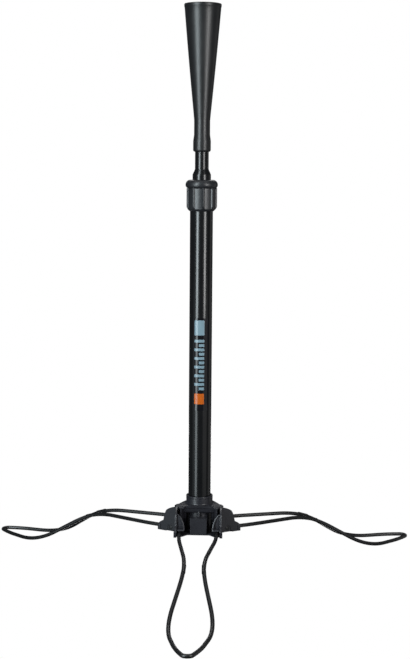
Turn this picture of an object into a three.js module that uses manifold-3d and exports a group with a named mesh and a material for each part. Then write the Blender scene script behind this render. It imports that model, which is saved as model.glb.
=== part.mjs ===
// A portable batting tee: a hollow rubber cone that holds the ball, on a swaged inner tube that
// slides in an outer tube under a twist-lock nut, on a moulded hub with three folding wire legs.
// Millimetres, +Z up. The origin is the centre of the hub's underside, on the tubes' axis.
// The front leg points along -Y.
import * as THREE from "three";
import { mergeVertices } from "three/addons/utils/BufferGeometryUtils.js";
import Module from "manifold-3d";

const wasm = await Module();
wasm.setup();

// ---- Driving dimensions ------------------------------------------------------------------

const ROUND_SIDES = 36; // sides of the tubes and other turned pieces
const CURVE_STEPS = 4; // steps in each curved edge of a plate
const GAP = 0.35; // clearance between pieces that touch in the real tee

// Heights of the three feet and of the main stations above the hub's underside.
const GROUND_Z = -56.4;
const COLLAR_TOP_Z = 50.3;
const OUTER_TUBE_TOP_Z = 474;
const NUT_BOTTOM_Z = 449.4;
const NUT_TOP_Z = 495;
const SWAGE_BOTTOM_Z = 500.5;
const NECK_BOTTOM_Z = 510.5;
const NECK_TOP_Z = 588;
const CUP_BOTTOM_Z = 533;
const CUP_TOP_Z = 733;

// Tubes: 1-1/4 inch outer tube, 1 inch inner tube swaged down to a 3/4 inch neck.
const OUTER_TUBE_R = 31.75 / 2;
const OUTER_TUBE_WALL = 1.2;
const OUTER_TUBE_BOTTOM_Z = 6.5;
const INNER_TUBE_R = 25.4 / 2;
const INNER_TUBE_WALL = 1.2;
const INNER_TUBE_BOTTOM_Z = 40;
const NECK_R = 18.9 / 2;
const LABEL_BOTTOM_Z = 174;
const LABEL_TOP_Z = 304;
const LABEL_HALF_ANGLE = 43; // degrees either side of the label's middle
const LABEL_TURN = 5; // degrees that the label's middle is turned from the front leg
const LABEL_THICKNESS = 0.25;

// Ball cup: outer radii of the rubber cone.
const CUP_CUFF_R = 12.2;
const CUP_WAIST_R = 11;
const CUP_RIM_R = 25.5;
const CUP_WALL = 3;
const CUP_WAIST_BOTTOM_Z = 560;
const CUP_WAIST_TOP_Z = 577;
const CUP_FLOOR_Z = NECK_TOP_Z + 3;
const CUP_FLARE_STEPS = 7;

// Twist-lock nut.
const NUT_RING_R = 22.4;
const NUT_BODY_R = 20.6;
const NUT_SIDES = 45;
const NUT_FLUTES = 9;
const NUT_TURN = 27; // degrees from the front leg to the first flute
const FLUTE_R = 24;
const FLUTE_DEPTH = 1.5;
const THREAD_R = 17.9;
const THREAD_PITCH = 3;
const SLEEVE_SIDES = 24;

// Hub: three equal ports, each with two cheeks, drawn in a frame whose X runs out along the leg.
const PORTS = { front: -90, right: 30, left: 150 };
const CHEEK_OUTER_W = 32.7; // half the width over a port's two cheeks
const CHEEK_THICKNESS = 2.7;
const CHEEK_START_X = 18.2; // where neighbouring ports' cheeks meet
const CHEEK_END_X = 48.4;
const WALL_OUTER_W = 26.1;
const WALL_THICKNESS = 2.5;
const PORT_FLOOR_Z = 2;
const PORT_ROOF_Z = 39;
const ROOF_THICKNESS = 4;
const PANEL_X = 20.6; // the back panel's top edge
const COLLAR_R = 18.8;
const BLOCK_HALF_WIDTH = 11.7;
const BLOCK_TOP_Z = 23.9;
const BLOCK_FRONT_X = 34;
const PIVOT_X = 28;
const PIVOT_Z = 5.1;
const PIVOT_HOLE_R = 3.1;
const PIVOT_POCKET_R = 5;
const PIVOT_SIDES = 20;
const CATCH_TIP_W = 19.2;
const CATCH_TOP_Z = 30;
const CATCH_LIP_Z = 8.3;
const CATCH_LIP_THICKNESS = 2.8;
const CATCH_FRAME = 2.2; // width of the frame round a catch's sunk face

// Legs: one closed loop of spring wire each.
const WIRE_R = 5.5 / 2;
const WIRE_SIDES = 9;
const BEND_STEPS = 5; // steps in each rounded corner
const LEG_TIP_X = 360.7;

// Fastening under the hub.
const CAP_R = 9;
const SCREW_HEAD_R = 6;
const SCREW_R = 2.5;

// ---- Making and joining shapes -----------------------------------------------------------

function solid(geometry) {
  const bare = geometry.index ? geometry.toNonIndexed() : geometry.clone();
  bare.deleteAttribute("normal");
  bare.deleteAttribute("uv");
  const merged = mergeVertices(bare, 1e-4);
  return new wasm.Manifold(
    new wasm.Mesh({
      numProp: 3,
      vertProperties: merged.attributes.position.array,
      triVerts: new Uint32Array(merged.index.array),
    }),
  );
}

function geometryOf(manifold) {
  const mesh = manifold.getMesh();
  const geometry = new THREE.BufferGeometry();
  geometry.setAttribute("position", new THREE.BufferAttribute(mesh.vertProperties, 3));
  geometry.setIndex(new THREE.BufferAttribute(mesh.triVerts, 1));
  geometry.computeVertexNormals();
  return geometry;
}

function joined(solids) {
  return solids.reduce((sum, next) => sum.add(next));
}

// A body turned about Z from a closed outline of [radius, height] corners, anticlockwise.
function turned(outline, sides = ROUND_SIDES) {
  const points = [...outline, outline[0]].map(([r, z]) => new THREE.Vector2(r, z));
  return new THREE.LatheGeometry(points, sides).rotateX(Math.PI / 2);
}

// A straight round bar or hole along Z.
function bar(radius, bottom, top, sides = ROUND_SIDES) {
  return new THREE.CylinderGeometry(radius, radius, top - bottom, sides)
    .rotateX(Math.PI / 2)
    .translate(0, 0, (top + bottom) / 2);
}

// A box between two corners.
function block(low, high) {
  const size = high.map((value, i) => value - low[i]);
  const middle = high.map((value, i) => (value + low[i]) / 2);
  return new THREE.BoxGeometry(...size).translate(...middle);
}

// An outline in the X-Y plane, risen to a height.
function risen(shape, height) {
  return new THREE.ExtrudeGeometry(shape, { depth: height, bevelEnabled: false });
}

// An outline in the X-Z plane, given thickness along Y from one width to another.
function plateAlongXZ(shape, fromY, toY) {
  const geometry = new THREE.ExtrudeGeometry(shape, {
    depth: Math.abs(toY - fromY),
    bevelEnabled: false,
    curveSegments: CURVE_STEPS,
  });
  return geometry.rotateX(Math.PI / 2).translate(0, Math.max(fromY, toY), 0);
}

// An outline in the Y-Z plane, given thickness along X.
function plateAlongYZ(shape, fromX, toX) {
  const geometry = new THREE.ExtrudeGeometry(shape, {
    depth: toX - fromX,
    bevelEnabled: false,
    curveSegments: CURVE_STEPS,
  });
  return geometry
    .rotateX(Math.PI / 2)
    .rotateZ(Math.PI / 2)
    .translate(fromX, 0, 0);
}

function polygon(corners) {
  return new THREE.Shape(corners.map(([x, y]) => new THREE.Vector2(x, y)));
}

const root = new THREE.Group();
root.name = "batting_tee";

function place(name, geometry, colour, roughness, metalness) {
  const material = new THREE.MeshStandardMaterial({ color: colour, roughness, metalness });
  const mesh = new THREE.Mesh(geometry, material);
  mesh.name = name;
  root.add(mesh);
  return mesh;
}

const BLACK_PAINT = [0x141517, 0.25, 0.3];
const BLACK_PLASTIC = [0x1c1d20, 0.5, 0];
const BLACK_RUBBER = [0x1b1b1c, 0.65, 0];
const STEEL = [0x9a9ca0, 0.35, 1];

// ---- Tubes -------------------------------------------------------------------------------

function outerTube() {
  const bore = OUTER_TUBE_R - OUTER_TUBE_WALL;
  return turned([
    [bore, OUTER_TUBE_BOTTOM_Z],
    [OUTER_TUBE_R, OUTER_TUBE_BOTTOM_Z],
    [OUTER_TUBE_R, OUTER_TUBE_TOP_Z],
    [bore, OUTER_TUBE_TOP_Z],
  ]);
}

function innerTube() {
  const wall = INNER_TUBE_WALL;
  return turned([
    [INNER_TUBE_R - wall, INNER_TUBE_BOTTOM_Z],
    [INNER_TUBE_R, INNER_TUBE_BOTTOM_Z],
    [INNER_TUBE_R, SWAGE_BOTTOM_Z],
    [INNER_TUBE_R - 1.2, SWAGE_BOTTOM_Z + 3.3],
    [NECK_R + 0.5, NECK_BOTTOM_Z - 2.4],
    [NECK_R, NECK_BOTTOM_Z],
    [NECK_R, NECK_TOP_Z],
    [NECK_R - wall, NECK_TOP_Z],
    [NECK_R - wall, NECK_BOTTOM_Z - 1],
    [INNER_TUBE_R - wall, SWAGE_BOTTOM_Z - 1],
  ]);
}

// A plastic bush clipped round the inner tube's lower end, running in the outer tube's bore.
function guideBush() {
  const top = INNER_TUBE_BOTTOM_Z + 22;
  const bottom = INNER_TUBE_BOTTOM_Z - 3;
  const outer = OUTER_TUBE_R - OUTER_TUBE_WALL - GAP;
  const inner = INNER_TUBE_R + GAP;
  return turned([
    [INNER_TUBE_R - 4, bottom],
    [outer - 1, bottom],
    [outer, bottom + 1],
    [outer, top - 1],
    [outer - 1, top],
    [inner, top],
    [inner, INNER_TUBE_BOTTOM_Z - GAP],
    [INNER_TUBE_R - 4, INNER_TUBE_BOTTOM_Z - GAP],
  ]);
}

// A plug in the outer tube's foot that the hub screw threads into.
function footPlug() {
  const outer = OUTER_TUBE_R - OUTER_TUBE_WALL - GAP;
  return turned([
    [SCREW_R + GAP, OUTER_TUBE_BOTTOM_Z],
    [outer, OUTER_TUBE_BOTTOM_Z],
    [outer, OUTER_TUBE_BOTTOM_Z + 17],
    [outer - 2, OUTER_TUBE_BOTTOM_Z + 19],
    [SCREW_R + GAP, OUTER_TUBE_BOTTOM_Z + 19],
  ]);
}

// The printed label: a thin band round part of the outer tube.
function label() {
  const inner = OUTER_TUBE_R + GAP - 0.05;
  const outline = [
    [inner, LABEL_BOTTOM_Z],
    [inner + LABEL_THICKNESS, LABEL_BOTTOM_Z],
    [inner + LABEL_THICKNESS, LABEL_TOP_Z],
    [inner, LABEL_TOP_Z],
  ];
  const ring = solid(turned(outline));
  const reach = 2 * OUTER_TUBE_R;
  const half = THREE.MathUtils.degToRad(LABEL_HALF_ANGLE);
  const middle = THREE.MathUtils.degToRad(PORTS.front + LABEL_TURN);
  const wedge = polygon([
    [0, 0],
    [reach * Math.cos(middle - half), reach * Math.sin(middle - half)],
    [reach * Math.cos(middle + half), reach * Math.sin(middle + half)],
  ]);
  const sector = risen(wedge, LABEL_TOP_Z - LABEL_BOTTOM_Z + 2).translate(0, 0, LABEL_BOTTOM_Z - 1);
  return geometryOf(ring.intersect(solid(sector)));
}

place("outer_tube", outerTube(), ...BLACK_PAINT);
place("inner_tube", innerTube(), ...BLACK_PAINT);
place("inner_tube_guide_bush", guideBush(), ...BLACK_PLASTIC);
place("outer_tube_foot_plug", footPlug(), ...BLACK_PLASTIC);
place("label", label(), 0x0d0e10, 0.35, 0);

// ---- Ball cup ----------------------------------------------------------------------------

// Outer radius of the flaring part of the cone at a height; the flare eases off near the rim.
function cupRadius(z) {
  const t = (z - CUP_WAIST_TOP_Z) / (CUP_TOP_Z - 4 - CUP_WAIST_TOP_Z);
  return CUP_WAIST_R + (CUP_RIM_R - CUP_WAIST_R) * (1.1 * t - 0.1 * t * t);
}

function ballCup() {
  const bore = NECK_R + GAP;
  const outline = [
    [bore, CUP_BOTTOM_Z],
    [CUP_CUFF_R - 1.6, CUP_BOTTOM_Z],
    [CUP_CUFF_R - 0.5, CUP_BOTTOM_Z + 0.7],
    [CUP_CUFF_R, CUP_BOTTOM_Z + 2.4],
    [CUP_CUFF_R, CUP_WAIST_BOTTOM_Z - 10],
    [CUP_CUFF_R - 0.5, CUP_WAIST_BOTTOM_Z - 5],
    [CUP_WAIST_R, CUP_WAIST_BOTTOM_Z],
  ];
  const rimEdgeZ = CUP_TOP_Z - 1.2;
  for (let i = 0; i <= CUP_FLARE_STEPS; i++) {
    const z = CUP_WAIST_TOP_Z + ((rimEdgeZ - 3 - CUP_WAIST_TOP_Z) * i) / CUP_FLARE_STEPS;
    outline.push([cupRadius(z), z]);
  }
  outline.push(
    [CUP_RIM_R, rimEdgeZ],
    [CUP_RIM_R - 1, CUP_TOP_Z],
    [CUP_RIM_R - CUP_WALL + 0.5, CUP_TOP_Z],
    [CUP_RIM_R - CUP_WALL, rimEdgeZ],
  );
  for (let i = CUP_FLARE_STEPS - 1; i >= 0; i--) {
    const z = CUP_FLOOR_Z + ((rimEdgeZ - 3 - CUP_FLOOR_Z) * i) / CUP_FLARE_STEPS;
    outline.push([cupRadius(z) - CUP_WALL, z]);
  }
  outline.push([bore, NECK_TOP_Z]);
  return turned(outline);
}

place("ball_cup", ballCup(), ...BLACK_RUBBER);

// ---- Twist lock --------------------------------------------------------------------------

// A threaded sleeve fixed round the top of the outer tube; its shoulder sits on the tube's end.
function threadedSleeve() {
  const inner = OUTER_TUBE_R + GAP;
  const core = THREAD_R - 0.9;
  const bottom = NUT_BOTTOM_Z + 10;
  const top = OUTER_TUBE_TOP_Z + 4;
  const outline = [
    [inner, bottom],
    [core, bottom],
  ];
  for (let z = bottom + 2; z < top - THREAD_PITCH; z += THREAD_PITCH) {
    outline.push([core, z], [THREAD_R, z + 0.6], [THREAD_R, z + 1.2], [core, z + 1.8]);
  }
  outline.push(
    [core, top - 1],
    [core - 1, top],
    [INNER_TUBE_R + GAP, top],
    [INNER_TUBE_R + GAP, OUTER_TUBE_TOP_Z + GAP],
    [inner, OUTER_TUBE_TOP_Z + GAP],
  );
  return turned(outline, SLEEVE_SIDES);
}

// The split ring that the nut squeezes onto the inner tube.
function clampRing() {
  const bottom = OUTER_TUBE_TOP_Z + 4 + GAP;
  const top = NUT_TOP_Z - 4.5;
  const inner = INNER_TUBE_R + GAP;
  const ring = solid(
    turned([
      [inner, bottom],
      [17.1, bottom],
      [17.1, bottom + 2.5],
      [inner + 1.6, top],
      [inner, top],
    ]),
  );
  const split = solid(block([0, -0.9, bottom - 1], [20, 0.9, top + 1]));
  return geometryOf(ring.subtract(split));
}

function clampNut() {
  const ringBottom = NUT_TOP_Z - 11.3;
  const ringMiddle = NUT_TOP_Z - 7.2;
  const ringHalf = NUT_TOP_Z - ringMiddle;
  const outline = [
    [OUTER_TUBE_R + GAP, NUT_BOTTOM_Z],
    [OUTER_TUBE_R + 0.6, NUT_BOTTOM_Z],
    [NUT_BODY_R - 0.4, NUT_BOTTOM_Z + 8],
    [NUT_BODY_R, NUT_BOTTOM_Z + 9.5],
    [NUT_BODY_R, ringBottom],
  ];
  // The rounded ring: a quarter of an ellipse from its widest point up to the flat top.
  for (let i = 0; i <= 5; i++) {
    const angle = (i / 5) * (Math.PI / 2);
    const r = 17 + (NUT_RING_R - 17) * Math.cos(angle);
    outline.push([r, ringMiddle + ringHalf * Math.sin(angle)]);
  }
  const seatTop = NUT_TOP_Z - 4;
  outline.push(
    [INNER_TUBE_R + GAP, NUT_TOP_Z],
    [INNER_TUBE_R + GAP, seatTop],
    [INNER_TUBE_R + 2.5, seatTop],
    [THREAD_R + 0.5, OUTER_TUBE_TOP_Z + 7.5],
    [THREAD_R + 0.5, NUT_BOTTOM_Z + 9],
    [OUTER_TUBE_R + GAP, NUT_BOTTOM_Z + 6],
  );
  let nut = solid(turned(outline, NUT_SIDES));
  const axisR = NUT_BODY_R + FLUTE_R - FLUTE_DEPTH;
  const bottom = NUT_BOTTOM_Z + 4;
  const top = ringBottom - 1;
  for (let i = 0; i < NUT_FLUTES; i++) {
    const angle = THREE.MathUtils.degToRad(PORTS.front + NUT_TURN + (360 / NUT_FLUTES) * i);
    const flute = turned(
      [
        [0, bottom],
        [FLUTE_R, bottom],
        [FLUTE_R, top - 2.5],
        [FLUTE_R - 0.7, top - 0.8],
        [FLUTE_R - FLUTE_DEPTH - 0.4, top],
        [0, top],
      ],
      72,
    ).translate(axisR * Math.cos(angle), axisR * Math.sin(angle), 0);
    nut = nut.subtract(solid(flute));
  }
  return geometryOf(nut);
}

place("threaded_sleeve", threadedSleeve(), ...BLACK_PLASTIC);
place("clamp_ring", clampRing(), ...BLACK_PLASTIC);
place("clamp_nut", clampNut(), ...BLACK_PLASTIC);

// ---- Hub ---------------------------------------------------------------------------------

// The side view of a cheek: a domed shoulder, a concave bite and a square foot.
function cheekShape() {
  const shape = new THREE.Shape();
  shape.moveTo(CHEEK_START_X, 0);
  shape.lineTo(CHEEK_END_X, 0);
  shape.lineTo(CHEEK_END_X, 7.6);
  shape.quadraticCurveTo(CHEEK_END_X, 9.4, 46.3, 10.8);
  shape.quadraticCurveTo(44, 12.9, 41.4, 13.6);
  shape.quadraticCurveTo(39.8, 14.2, 39.4, 17);
  shape.quadraticCurveTo(38.4, 23, 36.2, 27.6);
  shape.quadraticCurveTo(35.6, 29.4, 34.2, 30.6);
  shape.quadraticCurveTo(29, 34.8, 18.9, PORT_ROOF_Z);
  shape.lineTo(CHEEK_START_X, PORT_ROOF_Z);
  return shape;
}

// The floor of a port: short in front of the middle block, and long under the strands.
function portFloorShape() {
  const outer = CHEEK_OUTER_W - 1;
  return polygon([
    [10, -outer],
    [44, -outer],
    [44, -22.5],
    [BLOCK_FRONT_X + 0.8, -15.5],
    [BLOCK_FRONT_X + 0.8, 15.5],
    [44, 22.5],
    [44, outer],
    [10, outer],
  ]);
}

// One port in its own frame: X out along the leg, Y across it.
function port() {
  const cheekInner = CHEEK_OUTER_W - CHEEK_THICKNESS;
  const pieces = [];
  for (const side of [-1, 1]) {
    pieces.push(solid(plateAlongXZ(cheekShape(), side * cheekInner, side * CHEEK_OUTER_W)));
    // The foot ledge outside the cheek.
    const ledge = [side * (CHEEK_OUTER_W - 1), side * (CHEEK_OUTER_W + 0.7)].sort((a, b) => a - b);
    pieces.push(solid(block([34.4, ledge[0], 0], [CHEEK_END_X, ledge[1], 1.6])));
    // The inner wall flares out towards its front edge.
    const wall = polygon([
      [8, side * (WALL_OUTER_W - WALL_THICKNESS - 3)],
      [20.5, side * (WALL_OUTER_W - WALL_THICKNESS - 2.2)],
      [24.4, side * (WALL_OUTER_W - WALL_THICKNESS + 0.6)],
      [24.4, side * WALL_OUTER_W],
      [8, side * WALL_OUTER_W],
    ]);
    pieces.push(solid(risen(wall, PORT_ROOF_Z)));
  }
  pieces.push(solid(risen(portFloorShape(), PORT_FLOOR_Z)));
  pieces.push(
    solid(block([10, -BLOCK_HALF_WIDTH, 0], [BLOCK_FRONT_X, BLOCK_HALF_WIDTH, BLOCK_TOP_Z])),
  );
  // The back panel leans out as it comes down and ends above a recess.
  const panel = polygon([
    [12, 30],
    [PANEL_X + 2, 30],
    [PANEL_X, PORT_ROOF_Z],
    [12, PORT_ROOF_Z],
  ]);
  pieces.push(solid(plateAlongXZ(panel, -WALL_OUTER_W + 1, WALL_OUTER_W - 1)));
  const rib = polygon([
    [14, BLOCK_TOP_Z - 1],
    [28, BLOCK_TOP_Z - 1],
    [21.6, 32],
    [14, 32],
  ]);
  pieces.push(solid(plateAlongXZ(rib, -1, 1)));
  return joined(pieces);
}

// The roof: a flat triangle whose corners lie over the edges where neighbouring cheeks meet.
function hubRoof() {
  const reach = CHEEK_OUTER_W / Math.cos(Math.PI / 6) - 0.1;
  const corners = Object.values(PORTS).map((angle) => {
    const turn = THREE.MathUtils.degToRad(angle + 60);
    return [reach * Math.cos(turn), reach * Math.sin(turn)];
  });
  return solid(risen(polygon(corners), ROOF_THICKNESS).translate(0, 0, PORT_ROOF_Z - ROOF_THICKNESS));
}

function hub() {
  const collar = turned([
    [0, 0],
    [COLLAR_R, 0],
    [COLLAR_R, COLLAR_TOP_Z - 3.4],
    [COLLAR_R - 0.45, COLLAR_TOP_Z - 3],
    [COLLAR_R - 0.45, COLLAR_TOP_Z - 2.7],
    [COLLAR_R + 0.1, COLLAR_TOP_Z - 2.3],
    [COLLAR_R + 0.1, COLLAR_TOP_Z - 0.9],
    [COLLAR_R - 0.8, COLLAR_TOP_Z],
    [0, COLLAR_TOP_Z],
  ]);
  const ports = Object.values(PORTS).map((angle) => port().rotate([0, 0, angle]));
  const bore = OUTER_TUBE_R + GAP;
  const socket = turned([
    [0, OUTER_TUBE_BOTTOM_Z - GAP],
    [bore, OUTER_TUBE_BOTTOM_Z - GAP],
    [bore, COLLAR_TOP_Z + 1],
    [0, COLLAR_TOP_Z + 1],
  ]);
  const screwWay = turned(
    [
      [0, -1],
      [CAP_R + GAP, -1],
      [CAP_R + GAP, 4.2],
      [SCREW_R + GAP, 4.2],
      [SCREW_R + GAP, OUTER_TUBE_BOTTOM_Z],
      [0, OUTER_TUBE_BOTTOM_Z],
    ],
    24,
  );
  const pivots = Object.values(PORTS).flatMap((angle) =>
    [-1, 1].flatMap((side) => {
      const hole = bar(PIVOT_HOLE_R, 29, 34, PIVOT_SIDES);
      const pocket = bar(PIVOT_POCKET_R, CHEEK_OUTER_W - 1.2, 34, PIVOT_SIDES);
      return [hole, pocket].map((cut) =>
        solid(
          cut
            .rotateX((-side * Math.PI) / 2)
            .translate(PIVOT_X, 0, PIVOT_Z)
            .rotateZ(THREE.MathUtils.degToRad(angle)),
        ),
      );
    }),
  );
  const body = joined([solid(collar), hubRoof(), ...ports]);
  return geometryOf(body.subtract(joined([solid(socket), solid(screwWay), ...pivots])));
}

// A snap catch inside a cheek: the strand rides down its slope and snaps under its lip.
function catchSolid(side) {
  const outer = CHEEK_OUTER_W - CHEEK_THICKNESS - GAP;
  const face = new THREE.Shape();
  face.moveTo(outer, CATCH_LIP_Z);
  face.lineTo(outer, CATCH_TOP_Z);
  face.lineTo(outer - 2.5, CATCH_TOP_Z);
  face.quadraticCurveTo(outer - 5.2, CATCH_TOP_Z - 2.2, outer - 6, CATCH_TOP_Z - 5);
  face.lineTo(CATCH_TIP_W, CATCH_LIP_Z + CATCH_LIP_THICKNESS);
  face.quadraticCurveTo(CATCH_TIP_W - 0.6, CATCH_LIP_Z, CATCH_TIP_W + 1.6, CATCH_LIP_Z);
  const body = solid(plateAlongYZ(face, 32, 45.5));
  // Its front follows the cheek's own edge.
  const front = polygon([
    [31, 0],
    [44.6, 0],
    [44.6, 9],
    [41.2, 13],
    [38.6, 17.5],
    [34.6, 29.5],
    [31, 33],
  ]);
  const envelope = solid(plateAlongXZ(front, 10, 40));
  const pocketFace = polygon([
    [outer - 1.2, CATCH_LIP_Z + CATCH_LIP_THICKNESS],
    [outer - 1.2, CATCH_TOP_Z - CATCH_FRAME],
    [outer - 4, CATCH_TOP_Z - CATCH_FRAME - 1.5],
    [CATCH_TIP_W + 2.8, CATCH_LIP_Z + CATCH_LIP_THICKNESS],
  ]);
  const pocket = solid(plateAlongYZ(pocketFace, 34, 50));
  const made = body.intersect(envelope).subtract(pocket);
  return side > 0 ? made : made.mirror([0, 1, 0]);
}

place("hub", hub(), ...BLACK_PLASTIC);
for (const [name, angle] of Object.entries(PORTS)) {
  for (const [hand, side] of [["left", -1], ["right", 1]]) {
    const mesh = place(`${name}_catch_${hand}`, geometryOf(catchSolid(side)), ...BLACK_PLASTIC);
    mesh.rotation.z = THREE.MathUtils.degToRad(angle);
  }
}

// The screw that draws the outer tube into the hub, its washer, and the cap that hides them.
function hubScrew() {
  return turned(
    [
      [0, 1.5],
      [SCREW_HEAD_R - 1.5, 1.5],
      [SCREW_HEAD_R, 2.4],
      [SCREW_HEAD_R, 3],
      [SCREW_R, 3],
      [SCREW_R, 22],
      [0, 22],
    ],
    20,
  );
}

function hubWasher() {
  return turned(
    [
      [SCREW_R + GAP, 3.15],
      [8, 3.15],
      [8, 4.05],
      [SCREW_R + GAP, 4.05],
    ],
    24,
  );
}

function hubCap() {
  return turned(
    [
      [0, 0],
      [CAP_R, 0],
      [CAP_R, 3],
      [CAP_R - 1, 3],
      [CAP_R - 1, 1.2],
      [0, 1.2],
    ],
    32,
  );
}

place("hub_screw", hubScrew(), ...STEEL);
place("hub_screw_washer", hubWasher(), ...STEEL);
place("hub_bottom_cap", hubCap(), ...BLACK_PLASTIC);

// ---- Legs --------------------------------------------------------------------------------

// Corners of one strand in the port's frame [out, across, up], with the length of each rounded
// corner's tangent: from the end in the cheek, out to the waist, down to the floor, to the tip.
function legPath() {
  const floorZ = GROUND_Z + WIRE_R;
  const corners = [
    { at: [PIVOT_X, CHEEK_OUTER_W - 0.2, PIVOT_Z], round: 0 },
    { at: [PIVOT_X, 25, PIVOT_Z], round: 6.2 },
    { at: [66, 26.4, PIVOT_Z - 0.5], round: 22 },
    { at: [166, 12.5, 1.8], round: 25 },
    { at: [195, 13.4, -8.2], round: 22 },
    { at: [271.5, 31, floorZ], round: 37 },
    { at: [338, 15.6, floorZ], round: 15 },
    { at: [LEG_TIP_X, 5, floorZ], round: 4.9 },
  ];
  const half = corners.map(({ at, round }) => ({ at: new THREE.Vector3(...at), round }));
  const mirrored = half
    .slice()
    .reverse()
    .map(({ at, round }) => ({ at: at.clone().multiply(new THREE.Vector3(1, -1, 1)), round }));
  return [...half, ...mirrored];
}

// Straight runs joined by rounded corners. A run is one step long and a corner is several.
class BentWire extends THREE.Curve {
  constructor(corners) {
    super();
    this.pieces = [];
    let last = corners[0].at;
    for (let i = 1; i < corners.length - 1; i++) {
      const { at, round } = corners[i];
      const before = at.clone().add(last.clone().sub(at).setLength(round));
      const next = corners[i + 1].at;
      const after = at.clone().add(next.clone().sub(at).setLength(round));
      this.pieces.push({ curve: new THREE.LineCurve3(last, before), steps: 1 });
      this.pieces.push({
        curve: new THREE.QuadraticBezierCurve3(before, at, after),
        steps: BEND_STEPS,
      });
      last = after;
    }
    const end = corners[corners.length - 1].at;
    this.pieces.push({ curve: new THREE.LineCurve3(last, end), steps: 1 });
    this.steps = this.pieces.reduce((sum, piece) => sum + piece.steps, 0);
  }

  getPoint(t) {
    let step = t * this.steps;
    for (const { curve, steps } of this.pieces) {
      if (step <= steps) return curve.getPoint(step / steps);
      step -= steps;
    }
    return this.pieces[this.pieces.length - 1].curve.getPoint(1);
  }

  getPointAt(u) {
    return this.getPoint(u);
  }

  getTangentAt(u) {
    return this.getTangent(u);
  }

  getSpacedPoints(divisions) {
    return this.getPoints(divisions);
  }
}

function legWire() {
  const section = new THREE.Shape();
  for (let i = 0; i < WIRE_SIDES; i++) {
    const angle = (2 * Math.PI * i) / WIRE_SIDES;
    section[i ? "lineTo" : "moveTo"](WIRE_R * Math.cos(angle), WIRE_R * Math.sin(angle));
  }
  const path = new BentWire(legPath());
  return new THREE.ExtrudeGeometry(section, {
    steps: path.steps,
    bevelEnabled: false,
    extrudePath: path,
  });
}

for (const [name, angle] of Object.entries(PORTS)) {
  const mesh = place(`${name}_leg`, legWire(), 0x17181a, 0.45, 0.1);
  mesh.rotation.z = THREE.MathUtils.degToRad(angle);
}

export default root;
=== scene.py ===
# The looks of the batting tee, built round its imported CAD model.
# Shapes are worked out in millimetres in the CAD's own frame, and become metres as they turn into objects.
import math

import bmesh
import bpy
from mathutils import Matrix, Vector


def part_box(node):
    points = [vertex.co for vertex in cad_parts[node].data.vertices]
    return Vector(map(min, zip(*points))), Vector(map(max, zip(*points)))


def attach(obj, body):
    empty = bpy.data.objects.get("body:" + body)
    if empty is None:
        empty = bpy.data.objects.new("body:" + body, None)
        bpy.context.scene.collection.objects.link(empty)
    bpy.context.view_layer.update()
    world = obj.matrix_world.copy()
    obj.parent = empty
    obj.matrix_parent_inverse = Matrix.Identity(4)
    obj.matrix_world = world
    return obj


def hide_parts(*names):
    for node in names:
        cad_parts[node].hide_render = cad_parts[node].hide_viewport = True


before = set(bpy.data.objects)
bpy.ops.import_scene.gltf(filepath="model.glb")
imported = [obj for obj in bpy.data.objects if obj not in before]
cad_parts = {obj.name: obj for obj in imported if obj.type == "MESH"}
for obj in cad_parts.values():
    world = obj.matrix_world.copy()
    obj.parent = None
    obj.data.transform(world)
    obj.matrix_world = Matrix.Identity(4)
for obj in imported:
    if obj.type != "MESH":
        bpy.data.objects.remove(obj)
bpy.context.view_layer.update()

MM = 0.001


def low(node):
    """The lowest corner of a CAD node, in millimetres."""
    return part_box(node)[0] / MM


def high(node):
    """The highest corner of a CAD node, in millimetres."""
    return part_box(node)[1] / MM


def span(node):
    """The lowest and the highest Z of a CAD node, in millimetres."""
    return low(node).z, high(node).z


# ---- Driving dimensions, in millimetres --------------------------------------------------

PORTS = {"front": -90, "right": 30, "left": 150}  # directions of the three legs, in degrees
CLEARANCE = 0.35

GROUND_Z = low("front_leg").z
TUBE_WALL = 1.2
OUTER_TUBE_R = high("outer_tube").x
OUTER_TUBE_BOTTOM_Z, OUTER_TUBE_TOP_Z = span("outer_tube")
INNER_TUBE_R = high("inner_tube").x
INNER_TUBE_BOTTOM_Z, NECK_TOP_Z = span("inner_tube")
NECK_R = 9.45
SWAGE_BOTTOM_Z = 500.5
NECK_BOTTOM_Z = 510.5
SCREW_R = 2.5
CAP_R = high("hub_bottom_cap").x

CUP_BOTTOM_Z, CUP_TOP_Z = span("ball_cup")
CUP_RIM_R = high("ball_cup").x
CUP_LIP_Z = CUP_TOP_Z - 4
CUP_LIP_DEPTH = 0.4  # how far the lip stands out past the cone
CUP_WALL = 3
CUP_FLARE_Z = 577  # the cone opens above this height
CUP_WAIST_R = 11
CUP_WAIST_Z = 556.5
CUFF_R = 12.2
CUFF_TOP_Z = 548

NUT_BOTTOM_Z, NUT_TOP_Z = span("clamp_nut")
NUT_RING_R = high("clamp_nut").x
NUT_BODY_R = 20.6
THREAD_R = high("threaded_sleeve").x

LABEL_BOTTOM_Z, LABEL_TOP_Z = span("label")
LABEL_MIDDLE = -85  # degrees round the tube
LABEL_HALF_ANGLE = 43  # degrees

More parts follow.
